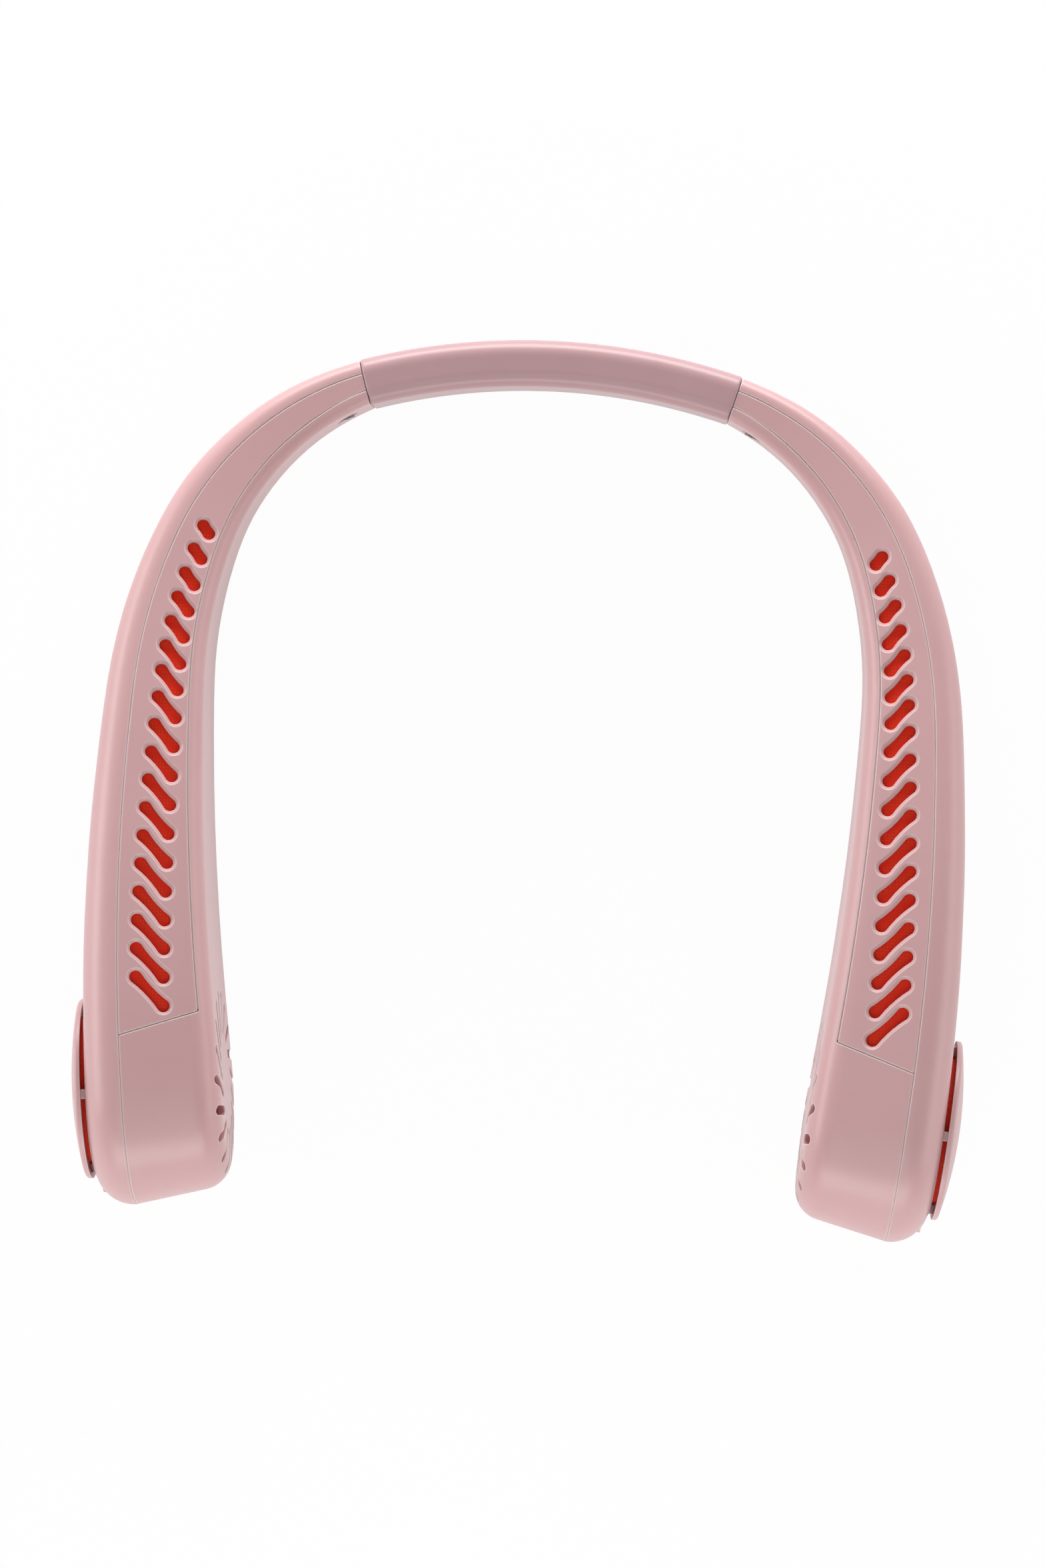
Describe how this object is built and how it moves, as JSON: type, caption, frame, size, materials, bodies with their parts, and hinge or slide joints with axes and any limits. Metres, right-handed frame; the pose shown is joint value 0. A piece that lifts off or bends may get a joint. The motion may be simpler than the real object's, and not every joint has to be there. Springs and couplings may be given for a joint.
{
  "type": "bladeless neck fan",
  "caption": "U-shaped bladeless neck fan: two hollow blower arms with slotted outlets and domed side intakes, joined by a flexible neck band.",
  "frame": {"origin": "centre of the overall outline, on the underside", "axes": "+X to the control arm, +Y to the nape end of the band, +Z out of the slotted front"},
  "size_m": [0.193, 0.1916, 0.0508],
  "materials": {
    "shell_pink": "satin fine-textured pink plastic",
    "band_rubber": "smooth soft mauve-pink elastomer",
    "mesh_red": "fine woven red dust mesh",
    "impeller_grey": "moulded grey plastic",
    "housing_white": "moulded natural plastic",
    "steel": "plain steel",
    "core_steel": "varnished laminations with windings",
    "bronze": "sintered bronze",
    "cell_wrap": "foil-wrapped cell",
    "lead_rubber": "black insulation",
    "board_green": "green laminate",
    "switch_black": "black moulding",
    "button_pink": "satin pink plastic",
    "lens_clear": "frosted clear lens"
  },
  "bodies": {
    "neck_band": {"neck_band_sleeve": "band_rubber", "band_spring": "steel", "link_cable": "lead_rubber"},
    "right_arm": {"right_band_plug": "housing_white", "right_battery": "cell_wrap", "right_blower_housing": "housing_white", "right_clamp_screw": "steel", "right_housing_screws": "steel", "right_inner_shell": "shell_pink", "right_intake_cap": "shell_pink", "right_intake_mesh": "mesh_red", "right_motor_bearing": "bronze", "right_motor_lead": "lead_rubber", "right_motor_stator": "core_steel", "right_neck_mesh": "mesh_red", "right_outer_shell": "shell_pink", "right_outlet_grille": "shell_pink", "right_outlet_mesh": "mesh_red", "main_board": "board_green", "usb_port": "steel", "tact_switch": "switch_black", "indicator_lens": "lens_clear", "board_screws": "steel"},
    "left_arm": {"left_band_plug": "housing_white", "left_battery": "cell_wrap", "left_blower_housing": "housing_white", "left_clamp_screw": "steel", "left_housing_screws": "steel", "left_inner_shell": "shell_pink", "left_intake_cap": "shell_pink", "left_intake_mesh": "mesh_red", "left_motor_bearing": "bronze", "left_motor_lead": "lead_rubber", "left_motor_stator": "core_steel", "left_neck_mesh": "mesh_red", "left_outer_shell": "shell_pink", "left_outlet_grille": "shell_pink", "left_outlet_mesh": "mesh_red"},
    "right_fan": {"right_impeller": "impeller_grey", "right_motor_rotor": "steel", "right_motor_shaft": "steel"},
    "left_fan": {"left_impeller": "impeller_grey", "left_motor_rotor": "steel", "left_motor_shaft": "steel"},
    "button": {"power_button": "button_pink"}
  },
  "joints": [
    {"name": "right_arm_flex", "type": "hinge", "parent": "neck_band", "child": "right_arm", "pos_m": [0.02039, 0.08928, 0.01215], "axis": [0, 0, 1], "range_deg": [-6, 22], "stiffness_Nm_per_rad": 0.6, "deforming": ["neck_band_sleeve", "band_spring", "link_cable"]},
    {"name": "right_fan_spin", "type": "hinge", "parent": "right_arm", "child": "right_fan", "pos_m": [0.09185, -0.07107, 0.0252], "axis": [0.9954, -0.0958, 0], "continuous": true},
    {"name": "left_arm_flex", "type": "hinge", "parent": "neck_band", "child": "left_arm", "pos_m": [-0.02039, 0.08928, 0.01215], "axis": [0, 0, -1], "range_deg": [-6, 22], "stiffness_Nm_per_rad": 0.6, "deforming": ["neck_band_sleeve", "band_spring", "link_cable"]},
    {"name": "left_fan_spin", "type": "hinge", "parent": "left_arm", "child": "left_fan", "pos_m": [-0.09185, -0.07107, 0.0252], "axis": [-0.9954, -0.0958, 0], "continuous": true},
    {"name": "power_press", "type": "slide", "parent": "right_arm", "child": "button", "axis": [-0.9998, -0.0201, 0], "range_m": [0, 0.0005], "stiffness_N_per_m": 400}
  ]
}
